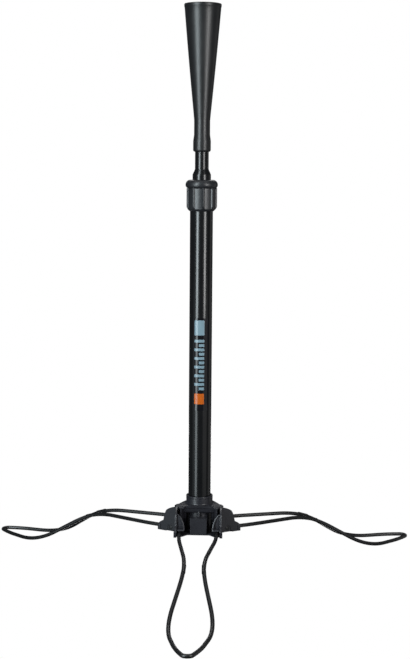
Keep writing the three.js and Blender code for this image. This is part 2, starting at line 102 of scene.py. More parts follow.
COLLAR_TOP_Z = high("hub").z
COLLAR_R = 18.8
CORE_R = 17.6  # the tube's socket, below the roof
ROOF_Z = 39
ROOF_THICKNESS = 2.2
ROOF_DROP = 2.6  # how far the roof's corners lie below its middle
ROOF_FLAT_R = 21  # the roof is flat out to this radius
CHEEK_OUTER_W = 32.7
CHEEK_THICKNESS = 2.7
CHEEK_START_X = 18.2
CHEEK_END_X = 48.4
CHEEK_SKIN = 1.2  # a cheek's outer layer, which its pocket cuts through
PORT_WALL_OUTER_W = 26.1
FOOT_SPREAD = 1.3  # how far a cheek's foot stands out past the cheek
BLOCK_HALF_WIDTH = 11.7
BLOCK_BACK_X = 10
BLOCK_FRONT_X = 34
BLOCK_TOP_Z = 23.9
PIVOT_X = 28
PIVOT_Z = 5.1
PIVOT_HOLE_R = 2.95
POCKET_R = 5.2
CATCH_LIP_Z, CATCH_TOP_Z = span("front_catch_left")
CATCH_TIP_W = 19.2
WIRE_R = 2.75


# ---- Outlines ----------------------------------------------------------------------------

def rounded(corners, steps=5):
    """A closed outline from corners (x, y) or (x, y, fillet radius)."""
    outline = []
    count = len(corners)
    for i, corner in enumerate(corners):
        here = Vector(corner[:2])
        radius = corner[2] if len(corner) > 2 else 0
        if radius == 0:
            outline.append(tuple(here))
            continue
        back = (Vector(corners[i - 1][:2]) - here).normalized()
        ahead = (Vector(corners[(i + 1) % count][:2]) - here).normalized()
        half = back.angle(ahead) / 2
        reach = radius / math.tan(half)
        centre = here + (back + ahead).normalized() * (radius / math.sin(half))
        start = here + back * reach - centre
        end = here + ahead * reach - centre
        turn = start.angle_signed(end)
        for step in range(steps + 1):
            outline.append(tuple(centre + Matrix.Rotation(-turn * step / steps, 2) @ start))
    return outline


def spaced(start, end, steps):
    """Evenly spaced values from one to another, with both of them."""
    return [start + (end - start) * step / steps for step in range(steps + 1)]


def clamped(value):
    """A value kept between 0 and 1."""
    return max(0, min(1, value))


def arc(centre, reach, start, end, steps):
    """Points of an ellipse, from one angle to another in degrees."""
    angles = [math.radians(angle) for angle in spaced(start, end, steps)]
    return [(centre[0] + reach[0] * math.cos(a), centre[1] + reach[1] * math.sin(a)) for a in angles]


def circle(radius, count, x=0, y=0):
    """A closed outline of so many points round a centre."""
    return arc((x, y), (radius, radius), 0, 360, count)[:-1]


def parabola(start, control, end, steps):
    """Points of a parabola that sets out for a control point and bends to its end."""
    start, control, end = Vector(start), Vector(control), Vector(end)
    return [start * (1 - t) ** 2 + control * (2 * t * (1 - t)) + end * t * t for t in spaced(0, 1, steps)]


def curve_to(outline, control, end, steps=8):
    """Carries an outline on along a parabola."""
    outline += [tuple(point) for point in parabola(outline[-1], control, end, steps)[1:]]


def subdivided(outline, longest):
    """An outline with its long edges cut into steps no longer than a length."""
    fine = []
    for i, corner in enumerate(outline):
        start, end = Vector(corner), Vector(outline[(i + 1) % len(outline)])
        pieces = max(1, math.ceil((end - start).length / longest))
        fine += [tuple(start.lerp(end, k / pieces)) for k in range(pieces)]
    return fine


# ---- Shapes ------------------------------------------------------------------------------

class Shape:
    """Vertices in millimetres and faces, gathered before they become an object."""

    def __init__(self):
        self.vertices = []
        self.faces = []

    def add(self, vertices, faces, place=None):
        """Takes in vertices, moved by a place matrix if there is one, and the faces between them."""
        start = len(self.vertices)
        for vertex in vertices:
            vertex = Vector(vertex)
            self.vertices.append(place @ vertex if place else vertex)
        self.faces += [[start + i for i in face] for face in faces]
        return self

    def join(self, other, place=None):
        """Takes in another shape."""
        return self.add(other.vertices, other.faces, place)


def quads(rows, columns, ends_meet=False, edges_meet=True):
    """Four-sided faces between rows of vertices. Each row closes on itself if its edges meet, and the last
    row is joined to the first if the ends meet."""
    faces = []
    for i in range(rows if ends_meet else rows - 1):
        k = (i + 1) % rows
        for j in range(columns if edges_meet else columns - 1):
            n = (j + 1) % columns
            faces.append([i * columns + j, i * columns + n, k * columns + n, k * columns + j])
    return faces


def turned(outline, sides=144, radius_at=None):
    """A body turned about Z from a closed outline of (radius, height).
    radius_at can reshape it by height and angle."""
    vertices = []
    for i in range(sides):
        angle = 2 * math.pi * i / sides
        for radius, z in outline:
            if radius_at:
                radius = radius_at(radius, z, angle)
            vertices.append((radius * math.cos(angle), radius * math.sin(angle), z))
    return Shape().add(vertices, quads(sides, len(outline), ends_meet=True))


def pipe(inner, outer, bottom, top, fillets, sides=144):
    """A turned body of oblong section, with a fillet for each corner from the bore's foot round."""
    corners = [(inner, bottom), (outer, bottom), (outer, top), (inner, top)]
    return turned(rounded([(*corner, fillet) for corner, fillet in zip(corners, fillets)]), sides)


def extrude(work, outline, thickness):
    """Fills a bmesh with a plate that has no holes."""
    count = len(outline)
    bottom = [work.verts.new((x, y, 0)) for x, y in outline]
    top = [work.verts.new((x, y, thickness)) for x, y in outline]
    work.faces.new(bottom)
    work.faces.new(top[::-1])
    for i in range(count):
        k = (i + 1) % count
        work.faces.new([bottom[i], bottom[k], top[k], top[i]])


def extrude_pierced(work, outline, thickness, holes):
    """Fills a bmesh with a plate that has holes, by way of a filled curve."""
    curve = bpy.data.curves.new("plate", "CURVE")
    curve.dimensions = "2D"
    curve.fill_mode = "BOTH"
    curve.extrude = thickness / 2
    for loop in (outline, *holes):
        spline = curve.splines.new("POLY")
        spline.points.add(len(loop) - 1)
        for point, (x, y) in zip(spline.points, loop):
            point.co = (x, y, 0, 1)
        spline.use_cyclic_u = True
    piece = bpy.data.objects.new("plate", curve)
    bpy.context.scene.collection.objects.link(piece)
    finished = piece.evaluated_get(bpy.context.evaluated_depsgraph_get())
    mesh = bpy.data.meshes.new_from_object(finished)
    work.from_mesh(mesh)
    bpy.data.objects.remove(piece)
    bpy.data.curves.remove(curve)
    bpy.data.meshes.remove(mesh)
    bmesh.ops.translate(work, verts=work.verts, vec=(0, 0, thickness / 2))
    bmesh.ops.remove_doubles(work, verts=work.verts, dist=1e-4)


SHARP_ANGLE = math.radians(35)  # a plate's edges that turn further than this are bevelled


def plate(outline, thickness, bevel, holes=()):
    """A flat plate on the X-Y plane, from z = 0 up to its thickness, with its outer edges rounded."""
    work = bmesh.new()
    if holes:
        extrude_pierced(work, outline, thickness, holes)
    else:
        extrude(work, outline, thickness)
    bmesh.ops.recalc_face_normals(work, faces=work.faces)
    rims = [Vector(corner) for loop in holes for corner in loop]
    edges = [
        edge for edge in work.edges
        if edge.calc_face_angle(0) > SHARP_ANGLE
        and not any((edge.verts[0].co.xy - corner).length < 1e-3 for corner in rims)
    ]
    bmesh.ops.bevel(
        work, geom=edges, offset=bevel, offset_type="OFFSET", segments=2, profile=0.5,
        affect="EDGES", clamp_overlap=True,
    )
    work.verts.index_update()
    shape = Shape().add(
        [vertex.co.copy() for vertex in work.verts],
        [[vertex.index for vertex in face.verts] for face in work.faces],
    )
    work.free()
    return shape


def upright(y):
    """Stands an X-Y plate up on the X-Z plane, with its far face at y."""
    return Matrix.Translation((0, y, 0)) @ Matrix.Rotation(math.pi / 2, 4, "X")


def raised(z):
    """Lifts a plate to a height."""
    return Matrix.Translation((0, 0, z))


def facing(angle):
    """Turns a port's own frame, whose X runs out along the leg, to the leg's direction."""
    return Matrix.Rotation(math.radians(angle), 4, "Z")


WIRE_SIDES = 20
WIRE_END_ROUNDING = 0.6


def wire(points, radius):
    """A round wire along a path, with rounded ends."""
    tangents = []
    for i in range(len(points)):
        before, after = points[max(0, i - 1)], points[min(len(points) - 1, i + 1)]
        tangents.append((after - before).normalized())
    side = tangents[0].orthogonal().normalized()
    rings = []
    for i, (point, tangent) in enumerate(zip(points, tangents)):
        if i:
            side = tangents[i - 1].rotation_difference(tangent) @ side
        rings.append((point, tangent, side, radius))
    rounding = []
    for turn in (0, 0.5, 1, math.pi / 2):
        inward = WIRE_END_ROUNDING * (1 - math.cos(turn))
        rounding.append((inward, radius - WIRE_END_ROUNDING * (1 - math.sin(turn))))
    point, tangent, side, _ = rings[0]
    start = [(point + tangent * inward, tangent, side, r) for inward, r in rounding]
    point, tangent, side, _ = rings[-1]
    end = [(point - tangent * inward, tangent, side, r) for inward, r in reversed(rounding)]
    rings = start + rings[1:-1] + end
    vertices = []
    for point, tangent, side, r in rings:
        up = tangent.cross(side)
        for k in range(WIRE_SIDES):
            angle = 2 * math.pi * k / WIRE_SIDES
            vertices.append(point + (side * math.cos(angle) + up * math.sin(angle)) * r)
    first_ring = list(range(WIRE_SIDES))
    last_ring = [len(vertices) - WIRE_SIDES + k for k in first_ring]
    return Shape().add(vertices, [first_ring[::-1], last_ring] + quads(len(rings), WIRE_SIDES))


MERGE_DISTANCE = 1e-6  # metres


def make(name, shape, body, material, stands_for=(), sharp=40, flat_weights=False):
    """Turns a shape into an object that rides on a body and stands for CAD nodes."""
    mesh = bpy.data.meshes.new(name)
    mesh.from_pydata([vertex * MM for vertex in shape.vertices], [], shape.faces)
    work = bmesh.new()
    work.from_mesh(mesh)
    bmesh.ops.remove_doubles(work, verts=work.verts, dist=MERGE_DISTANCE)
    bmesh.ops.dissolve_degenerate(work, edges=work.edges, dist=MERGE_DISTANCE)
    bmesh.ops.recalc_face_normals(work, faces=work.faces)
    work.to_mesh(mesh)
    work.free()
    mesh.shade_smooth()
    mesh.set_sharp_from_angle(angle=math.radians(sharp))
    mesh.materials.append(material)
    piece = bpy.data.objects.new(name, mesh)
    bpy.context.scene.collection.objects.link(piece)
    if flat_weights:
        weights = piece.modifiers.new("weights", "WEIGHTED_NORMAL")
        weights.keep_sharp = True
    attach(piece, body)
    if stands_for:
        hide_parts(*stands_for)


# ---- Materials ---------------------------------------------------------------------------

DRIFT_SCALE = 18
SMUDGE_SCALE = 60


def noise(tree, mapping, scale, detail):
    """A noise texture in object coordinates."""
    texture = tree.nodes.new("ShaderNodeTexNoise")
    texture.inputs["Scale"].default_value = scale
    texture.inputs["Detail"].default_value = detail
    tree.links.new(mapping.outputs["Vector"], texture.inputs["Vector"])
    return texture.outputs["Fac"]


def surface(name, dark, light, roughness, grain_scale, grain_height, stretch=(1, 1, 1), **sockets):
    """A finish: its colour drifts between two tones, its roughness varies, and a fine grain stands up.
    roughness is (least, most), grain_height is in metres, and stretch scales the noise's coordinates."""
    material = bpy.data.materials.new(name)
    material.use_nodes = True
    tree = material.node_tree
    nodes, links = tree.nodes, tree.links
    shader = nodes["Principled BSDF"]
    place = nodes.new("ShaderNodeTexCoord")
    mapping = nodes.new("ShaderNodeMapping")
    mapping.inputs["Scale"].default_value = stretch
    links.new(place.outputs["Object"], mapping.inputs["Vector"])

    tones = nodes.new("ShaderNodeValToRGB")
    for stop, position, tone in zip(tones.color_ramp.elements, (0.3, 0.7), (dark, light)):
        stop.position = position
        stop.color = (*tone, 1)
    links.new(noise(tree, mapping, DRIFT_SCALE, 4), tones.inputs["Fac"])
    links.new(tones.outputs["Color"], shader.inputs["Base Color"])

    spread = nodes.new("ShaderNodeMapRange")
    spread.inputs["To Min"].default_value = roughness[0]
    spread.inputs["To Max"].default_value = roughness[1]
    links.new(noise(tree, mapping, SMUDGE_SCALE, 5), spread.inputs["Value"])
    links.new(spread.outputs["Result"], shader.inputs["Roughness"])

    bump = nodes.new("ShaderNodeBump")
    bump.inputs["Strength"].default_value = 1
    bump.inputs["Distance"].default_value = grain_height
    links.new(noise(tree, mapping, grain_scale, 3), bump.inputs["Height"])
    links.new(bump.outputs["Normal"], shader.inputs["Normal"])
    for socket, value in sockets.items():
        shader.inputs[socket.replace("_", " ")].default_value = value
    return material


TUBE_PAINT = surface(
    "tube_paint", (0.0035, 0.0037, 0.0042), (0.0055, 0.0057, 0.0063), (0.18, 0.25), 900, 4e-6
)
NECK_PAINT = surface(
    "neck_paint", (0.0035, 0.0037, 0.0042), (0.0055, 0.0057, 0.0063), (0.2, 0.28), 700, 3e-6, (3, 3, 0.15)
)
CUP_RUBBER = surface(
    "cup_rubber", (0.0065, 0.0068, 0.0075), (0.011, 0.0113, 0.012), (0.32, 0.42), 1500, 1.2e-5
)
LOCK_PLASTIC = surface(
    "lock_plastic", (0.011, 0.0115, 0.0135), (0.0165, 0.017, 0.0195), (0.3, 0.42), 2600, 1.6e-5
)
HUB_PLASTIC = surface(
    "hub_plastic", (0.013, 0.013, 0.0165), (0.0185, 0.0185, 0.023), (0.28, 0.4), 2600, 2e-5
)
INNER_PLASTIC = surface(
    "inner_plastic", (0.045, 0.045, 0.047), (0.06, 0.06, 0.062), (0.4, 0.5), 2000, 1e-5
)
WIRE_COATING = surface(
    "wire_coating", (0.005, 0.005, 0.0055), (0.009, 0.009, 0.0095), (0.3, 0.42), 1400, 5e-6
)
LABEL_FILM = surface(
    "label_film", (0.004, 0.004, 0.005), (0.006, 0.006, 0.008), (0.07, 0.12), 500, 1e-6
)
PALE_INK = surface(
    "pale_ink", (0.14, 0.205, 0.245), (0.17, 0.25, 0.29), (0.12, 0.2), 1200, 2e-6
)
ORANGE_INK = surface(
    "orange_ink", (0.38, 0.075, 0.006), (0.43, 0.09, 0.009), (0.12, 0.2), 1200, 2e-6
)
ZINC = surface(
    "zinc_plate", (0.45, 0.46, 0.48), (0.60, 0.61, 0.62), (0.28, 0.42), 900, 4e-6, Metallic=1
)


# ---- Tubes -------------------------------------------------------------------------------

OUTER_BORE_R = OUTER_TUBE_R - TUBE_WALL
INNER_BORE_R = INNER_TUBE_R - TUBE_WALL


def outer_tube():
    return pipe(OUTER_BORE_R, OUTER_TUBE_R, OUTER_TUBE_BOTTOM_Z, OUTER_TUBE_TOP_Z, (0.3, 0.3, 0.3, 0.3))


def inner_tube():
    """The sliding tube, swaged to its neck."""
    neck_bore = NECK_R - TUBE_WALL
    return turned(rounded([
        (INNER_BORE_R, INNER_TUBE_BOTTOM_Z, 0.3),
        (INNER_TUBE_R, INNER_TUBE_BOTTOM_Z, 0.3),
        (INNER_TUBE_R, SWAGE_BOTTOM_Z + 1.6, 2.2),
        (NECK_R, NECK_BOTTOM_Z - 1.2, 4),
        (NECK_R, NECK_TOP_Z, 0.4),
        (neck_bore, NECK_TOP_Z, 0.4),
        (neck_bore, NECK_BOTTOM_Z - 1, 3),
        (INNER_BORE_R, SWAGE_BOTTOM_Z - 1, 3),
    ], steps=6))


def guide_bush():
    """A sleeve round the inner tube's foot, with a flange under it."""
    bottom, top = span("inner_tube_guide_bush")
    outer = OUTER_BORE_R - CLEARANCE
    inner = INNER_TUBE_R + CLEARANCE
    seat = INNER_TUBE_BOTTOM_Z - CLEARANCE
    flange = INNER_TUBE_R - 4
    return turned(rounded([
        (flange, bottom, 0.4),
        (outer, bottom, 1),
        (outer, top, 0.8),
        (inner, top, 0.3),
        (inner, seat),
        (flange, seat, 0.4),
    ]))


def foot_plug():
    """The plug in the outer tube's foot, bored for the screw."""
    bottom, top = span("outer_tube_foot_plug")
    return pipe(SCREW_R + CLEARANCE, OUTER_BORE_R - CLEARANCE, bottom, top, (0.3, 0.5, 2, 0.3))


make("outer_tube_paint", outer_tube(), "base", TUBE_PAINT, ["outer_tube"])
make("inner_tube_paint", inner_tube(), "mast", NECK_PAINT, ["inner_tube"])
make("guide_bush", guide_bush(), "tube_guide", INNER_PLASTIC, ["inner_tube_guide_bush"])
make("foot_plug", foot_plug(), "base", INNER_PLASTIC, ["outer_tube_foot_plug"])


# ---- Label -------------------------------------------------------------------------------

FILM_THICKNESS = 0.16
FILM_GAP = 0.02  # between the tube and the film
INK_THICKNESS = 0.05
INK_DEPTH = 0.01  # how far the ink reaches into the film
PRINT_CORNER = 0.4
PRINT_LEFT = -9.5  # across the label from its middle, as are the next two
PRINT_RIGHT = 4.5
SHORT_BAR_LEFT = -3
PALE_BLOCK = (3, 24)  # down from the label's top, as are the bars and the orange block
FIRST_BAR = 30
BAR_COUNT = 12
BAR_PITCH = 6.1
BAR_HEIGHT = 3.9
ORANGE_BLOCK = (106, 121)


def tube_patch(across, along, inner, outer, corner):
    """A thin patch on the tube, from across[0] to across[1] round it and along[0] to along[1] up it, in mm.
    across is measured along the tube's surface from the label's middle."""
    corners = [
        (across[0], along[0], corner),
        (across[1], along[0], corner),
        (across[1], along[1], corner),
        (across[0], along[1], corner),
    ]
    edge = subdivided(rounded(corners, 4), 0.8)
    middle = Vector((sum(across) / 2, sum(along) / 2))
    rings = 5
    shape = Shape()
    for radius in (outer, inner):
        vertices = []
        for inward in spaced(0, 1, rings):
            for point in edge:
                s, z = Vector(point).lerp(middle, inward)
                angle = math.radians(LABEL_MIDDLE) + s / OUTER_TUBE_R
                vertices.append((radius * math.cos(angle), radius * math.sin(angle), z))
        shape.add(vertices, quads(rings + 1, len(edge)))
    count = len(edge)
    inner_edge = count * (rings + 1)
    for k in range(count):
        n = (k + 1) % count
        shape.faces.append([k, inner_edge + k, inner_edge + n, n])
    return shape


def label_film():
    half = math.radians(LABEL_HALF_ANGLE) * OUTER_TUBE_R
    inner, outer = OUTER_TUBE_R + FILM_GAP, OUTER_TUBE_R + FILM_THICKNESS
    return tube_patch((-half, half), (LABEL_BOTTOM_Z, LABEL_TOP_Z), inner, outer, 0.8)


def printed_bar(left, top, bottom):
    """A bar of ink, out to the print's right side and between two distances down from the label's top."""
    inner = OUTER_TUBE_R + FILM_THICKNESS - INK_DEPTH
    along = (LABEL_TOP_Z - bottom, LABEL_TOP_Z - top)
    return tube_patch((left, PRINT_RIGHT), along, inner, inner + INK_THICKNESS, PRINT_CORNER)


def pale_bars():
    """A plain block, and a ladder of alternating long and short bars below it."""
    shape = printed_bar(PRINT_LEFT, *PALE_BLOCK)
    for i in range(BAR_COUNT):
        top = FIRST_BAR + i * BAR_PITCH
        shape.join(printed_bar(SHORT_BAR_LEFT if i % 2 else PRINT_LEFT, top, top + BAR_HEIGHT))
    return shape


def orange_bar():
    return printed_bar(PRINT_LEFT, *ORANGE_BLOCK)


make("label_film", label_film(), "base", LABEL_FILM, ["label"])
make("label_pale_bars", pale_bars(), "base", PALE_INK)
make("label_orange_bar", orange_bar(), "base", ORANGE_INK)


# ---- Ball cup ----------------------------------------------------------------------------

def cup_radius(z):
    """The outer radius of the flaring part of the cone, which opens a little less towards the rim."""
    t = (z - CUP_FLARE_Z) / (CUP_LIP_Z - CUP_FLARE_Z)
    return CUP_WAIST_R + (CUP_RIM_R - CUP_LIP_DEPTH - CUP_WAIST_R) * (1.1 * t - 0.1 * t * t)


def ball_cup():
    """The cup, from its cuff on the neck up the outside, over the lip and down the inside."""
    bore = NECK_R + CLEARANCE
    flare_top = CUP_LIP_Z - 1
    floor = NECK_TOP_Z + 3
    steps = 16
    cuff_and_waist = [
        (bore, CUP_BOTTOM_Z, 0.4),
        (CUFF_R, CUP_BOTTOM_Z, 3),
        (CUFF_R, CUFF_TOP_Z, 8),
        (CUP_WAIST_R, CUP_WAIST_Z, 8),
        (CUP_WAIST_R, CUP_FLARE_Z - 1, 12),
    ]
    outside = [(cup_radius(z), z) for z in spaced(CUP_FLARE_Z, flare_top, steps)[1:]]
    lip = [
        (CUP_RIM_R, CUP_LIP_Z, 0.6),
        (CUP_RIM_R, CUP_TOP_Z, 1.3),
        (CUP_RIM_R - CUP_WALL, CUP_TOP_Z, 1.2),
    ]
    inside = [(cup_radius(z) - CUP_WALL, z) for z in reversed(spaced(floor, flare_top, steps))]
    stop = (bore, NECK_TOP_Z, 0.4)
    return turned(rounded([*cuff_and_waist, *outside, *lip, *inside, stop], steps=6), sides=180)


make("ball_cup_moulding", ball_cup(), "mast", CUP_RUBBER, ["ball_cup"])


# ---- Twist lock --------------------------------------------------------------------------

THREAD_PITCH = 3
THREAD_DEPTH = 0.9
CLAMP_RING_R = 17.1
CLAMP_RING_GAP = 3.4  # half of its split, in degrees


def threaded_sleeve():
    """The sleeve on the outer tube's top. Its thread is a row of plain rings."""
    bottom, top = span("threaded_sleeve")
    core = THREAD_R - THREAD_DEPTH
    inner = OUTER_TUBE_R + CLEARANCE
    neck = INNER_TUBE_R + CLEARANCE
    shoulder = OUTER_TUBE_TOP_Z + CLEARANCE
    corners = [(inner, bottom), (core, bottom, 0.3)]
    z = bottom + 2
    while z < top - THREAD_PITCH:
        corners += [
            (core, z, 0.15),
            (THREAD_R, z + 0.6, 0.2),
            (THREAD_R, z + 1.2, 0.2),
            (core, z + 1.8, 0.15),
        ]
        z += THREAD_PITCH
    corners += [(core, top, 0.8), (neck, top, 0.3), (neck, shoulder), (inner, shoulder)]
    return turned(rounded(corners, steps=2), sides=96)


def clamp_ring():
    """A split ring: its outline, swept round nearly a whole turn."""
    bottom, top = span("clamp_ring")
    inner = INNER_TUBE_R + CLEARANCE
    outline = rounded([
        (inner, bottom, 0.2),
        (CLAMP_RING_R, bottom, 0.4),
        (CLAMP_RING_R, bottom + 2.5, 0.4),
        (inner + 1.6, top, 0.3),
        (inner, top, 0.2),
    ], steps=3)
    sides = 96
    vertices = []
    for angle in spaced(math.radians(CLAMP_RING_GAP), math.radians(360 - CLAMP_RING_GAP), sides):
        vertices += [(r * math.cos(angle), r * math.sin(angle), z) for r, z in outline]
    count = len(outline)
    first_end = list(range(count))
    last_end = [sides * count + j for j in reversed(first_end)]
    return Shape().add(vertices, quads(sides + 1, count) + [first_end, last_end])


PANELS = 9
PANEL_R = 30  # each panel is crowned
PANEL_APOTHEM = 19.4
FIRST_PANEL = math.radians(-90 + 28.5)
RIB_R = 21.5
RIB_HALF_WIDTH = 1.9
RIB_WALL = 0.9
NUT_FOOT_R = 17
NUT_RING_FOOT_R = 19.7
NUT_RING_CROWN_R = 15.2
NUT_RING_BOTTOM_Z = NUT_TOP_Z - 11.3
NUT_RING_MIDDLE_Z = NUT_TOP_Z - 7


def nut_radius(radius, z, angle):
    """Sinks the panels into the nut's body, which leaves a rounded rib between each two."""
    if radius < OUTER_TUBE_R + 2 or z > NUT_RING_BOTTOM_Z:
        return radius
    pitch = 2 * math.pi / PANELS
    behind = PANEL_R - PANEL_APOTHEM
    off = (angle - FIRST_PANEL + pitch / 2) % pitch - pitch / 2
    panel = math.sqrt(PANEL_R ** 2 - (behind * math.sin(off)) ** 2) - behind * math.cos(off)
    from_rib = (pitch / 2 - abs(off)) * NUT_BODY_R
    rise = clamped((RIB_HALF_WIDTH - from_rib) / RIB_WALL)
    rise = rise * rise * (3 - 2 * rise)
    crown = 0.6 * min(1, from_rib / RIB_HALF_WIDTH) ** 2
    return min(radius, panel + (RIB_R - crown - panel) * rise)


def clamp_nut():
    """The nut: a foot that curves in, the body that its panels are sunk in, and a round ring on top."""
    bottom = NUT_BOTTOM_Z + 2.2
    foot_height = 7.2
    foot = [
        (NUT_FOOT_R + (RIB_R - NUT_FOOT_R) * math.sin(math.pi / 2 * t) ** 0.9, bottom + 0.5 + foot_height * t)
        for t in spaced(0, 1, 8)
    ]
    body = [(RIB_R, z) for z in spaced(bottom + foot_height + 1, NUT_RING_BOTTOM_Z - 0.7, 20)]
    ring_under = arc(
        (NUT_RING_FOOT_R, NUT_RING_MIDDLE_Z),
        (NUT_RING_R - NUT_RING_FOOT_R, NUT_RING_MIDDLE_Z - NUT_RING_BOTTOM_Z - 0.2),
        -90, 0, 5,
    )
    ring_over = arc(
        (NUT_RING_CROWN_R, NUT_RING_MIDDLE_Z),
        (NUT_RING_R - NUT_RING_CROWN_R, NUT_TOP_Z - NUT_RING_MIDDLE_Z),
        0, 90, 10,
    )
    tube_hole = INNER_TUBE_R + CLEARANCE
    foot_hole = OUTER_TUBE_R + CLEARANCE
    thread_way = THREAD_R + 0.5
    return turned(rounded([
        (foot_hole, bottom, 0.1),
        *foot,
        *body,
        *ring_under[1:],
        *ring_over[1:-1],
        (tube_hole, NUT_TOP_Z, 0.5),
        (tube_hole, NUT_TOP_Z - 4),
        (INNER_TUBE_R + 2.5, NUT_TOP_Z - 4),
        (thread_way, OUTER_TUBE_TOP_Z + 7.5),
        (thread_way, bottom + 7),
        (foot_hole, bottom + 4),
    ]), sides=PANELS * 48, radius_at=nut_radius)


make("sleeve_thread", threaded_sleeve(), "base", LOCK_PLASTIC, ["threaded_sleeve"])
make("split_clamp_ring", clamp_ring(), "lock_ring", INNER_PLASTIC, ["clamp_ring"])
make("fluted_nut", clamp_nut(), "lock_nut", LOCK_PLASTIC, ["clamp_nut"])


# ---- Hub ---------------------------------------------------------------------------------

def cheek_outline(pocket):
    """A cheek seen from its side. The outer layer has an arched pocket over the pivot, open below."""
    corner_z = ROOF_Z - ROOF_DROP
    outline = [(CHEEK_START_X, 0)]
    if pocket:
        outline.append((PIVOT_X - POCKET_R, 0))
        outline += arc((PIVOT_X, PIVOT_Z - 0.6), (POCKET_R, POCKET_R), 180, 0, 12)
        outline.append((PIVOT_X + POCKET_R, 0))
    outline += [(CHEEK_END_X, 0), (CHEEK_END_X, 7.4)]
    curve_to(outline, (CHEEK_END_X, 9.4), (46.3, 10.8))
    curve_to(outline, (44, 12.9), (41.8, 13.5))
    curve_to(outline, (39.9, 14.2), (39.4, 17))
    curve_to(outline, (38.4, 23), (36.2, 27.6))
    curve_to(outline, (35.6, 29.4), (34.2, 30.6))
    curve_to(outline, (29, 34.4), (CHEEK_START_X + 0.7, corner_z))
    outline.append((CHEEK_START_X, corner_z))
    return outline


def across_port(outline, near, far, bevel, holes=()):
    """A plate that stands along a port, from one distance across it to another."""
    near, far = sorted((near, far))
    return Shape().join(plate(outline, far - near, bevel, holes), upright(far))


def oblong(left, right, bottom, top):
    """A closed outline, anticlockwise from its lower left corner."""
    return [(left, bottom), (right, bottom), (right, top), (left, top)]


def port():
    """One port in its own frame: X out along the leg, Y across it."""
    shape = Shape()
    inner = CHEEK_OUTER_W - CHEEK_THICKNESS
    split = CHEEK_OUTER_W - CHEEK_SKIN
    foot_w = CHEEK_OUTER_W + FOOT_SPREAD
    pivot_hole = circle(PIVOT_HOLE_R, 32, PIVOT_X, PIVOT_Z)
    foot = oblong(44.6, CHEEK_END_X + 0.1, 0, 7.6)
    for side in (-1, 1):
        shape.join(across_port(cheek_outline(False), side * inner, side * (split + 0.3), 0.4, [pivot_hole]))
        shape.join(across_port(cheek_outline(True), side * split, side * CHEEK_OUTER_W, 0.35))
        shape.join(across_port(foot, side * inner, side * foot_w, 0.35))
        ledge = sorted((side * (split + 0.2), side * (foot_w - 0.2)))
        shape.join(plate(oblong(34.4, 46, *ledge), 1.6, 0.3))
    block = rounded([
        (BLOCK_BACK_X, -BLOCK_HALF_WIDTH),
        (BLOCK_FRONT_X, -BLOCK_HALF_WIDTH, 0.5),
        (BLOCK_FRONT_X, BLOCK_HALF_WIDTH, 0.5),
        (BLOCK_BACK_X, BLOCK_HALF_WIDTH),
    ])
    shape.join(plate(block, BLOCK_TOP_Z - 0.1, 0.5), raised(0.1))
    return shape


def port_walls():
    """The two walls that part a port's middle from its strands' slots."""
    shape = Shape()
    for side in (-1, 1):
        wall = rounded([
            (8, side * 21.1),
            (20.5, side * 21.4),
            (24.4, side * 24.2, 0.3),
            (24.4, side * PORT_WALL_OUTER_W, 0.3),
            (8, side * PORT_WALL_OUTER_W),
        ][::side])
        shape.join(plate(wall, ROOF_Z - 1.65, 0.3), raised(0.05))
    return shape


def front_panel():
    """The panel over a port's block, leaning in towards its soft lower edge, and the rib below it."""
    top = ROOF_Z - 1.7
    half_width = 21.5
    panel = rounded([(12, 26.5), (20, 28.4, 4.5), (21.7, top), (12, top)], 8)
    rib = [(14, 22.9), (23.8, 22.9), (20.6, 30.5), (14, 30.5)]
    return across_port(panel, -half_width, half_width, 0.3).join(across_port(rib, -1, 1, 0.3))


def round_ports(edge):
    """One port's stretch of an outline, for each port in turn anticlockwise."""
    stretches = []
    for angle in sorted(PORTS.values()):
        turn = Matrix.Rotation(math.radians(angle), 2)
        stretches.append([tuple(turn @ Vector(corner)) for corner in edge])
    return stretches


def mirrored(half):
    """A port's edge from its left half's mirror image to the half itself."""
    return [(x, -w) for x, w in reversed(half)] + half


def floor_outline():
    """The hub's bottom plate: each port's floor is short before its block and long under the strands."""
    edge = mirrored([(34.8, 15.5), (44, 22.5), (44, 31)])
    return [corner for stretch in round_ports([(18, -31)] + edge) for corner in stretch]


ROOF_REACH = CHEEK_OUTER_W / math.cos(math.pi / 6) - 0.1


def roof_outline():
    """A triangle with its corners where two cheeks meet, standing out over each port's panel and walls."""
    edge = mirrored([(22.1, 19.5), (24.7, 20.7), (24.7, PORT_WALL_OUTER_W + 0.3), (18.8, 29.8)])
    outline = []
    for angle, stretch in zip(sorted(PORTS.values()), round_ports(edge)):
        corner = Matrix.Rotation(math.radians(angle + 60), 2) @ Vector((ROOF_REACH, 0))
        outline += [*stretch, (*corner, 1.2)]
    return subdivided(rounded(outline, 3), 2.5)


def roof_drop(point):
    """How far the hub's top falls away at a point, more towards the roof's corners."""
    outward = max(0, (point.xy.length - ROOF_FLAT_R) / (ROOF_REACH - ROOF_FLAT_R))
    near_top = clamped((point.z - 30) / 6)
    return ROOF_DROP * outward ** 1.3 * near_top


def in_each_port(part):
    """A part that is shaped in a port's own frame, once for each port."""
    shape = Shape()
    for angle in PORTS.values():
        shape.join(part, facing(angle))
    return shape


def hub_top():
    """The roof and the walls under it, which fall away towards the corners."""
    roof = plate(roof_outline(), ROOF_THICKNESS, 0.35, [circle(OUTER_TUBE_R + 1, 64)])
    shape = Shape().join(roof, raised(ROOF_Z - ROOF_THICKNESS)).join(in_each_port(port_walls()))
    for vertex in shape.vertices:
        vertex.z -= roof_drop(vertex)
    return shape


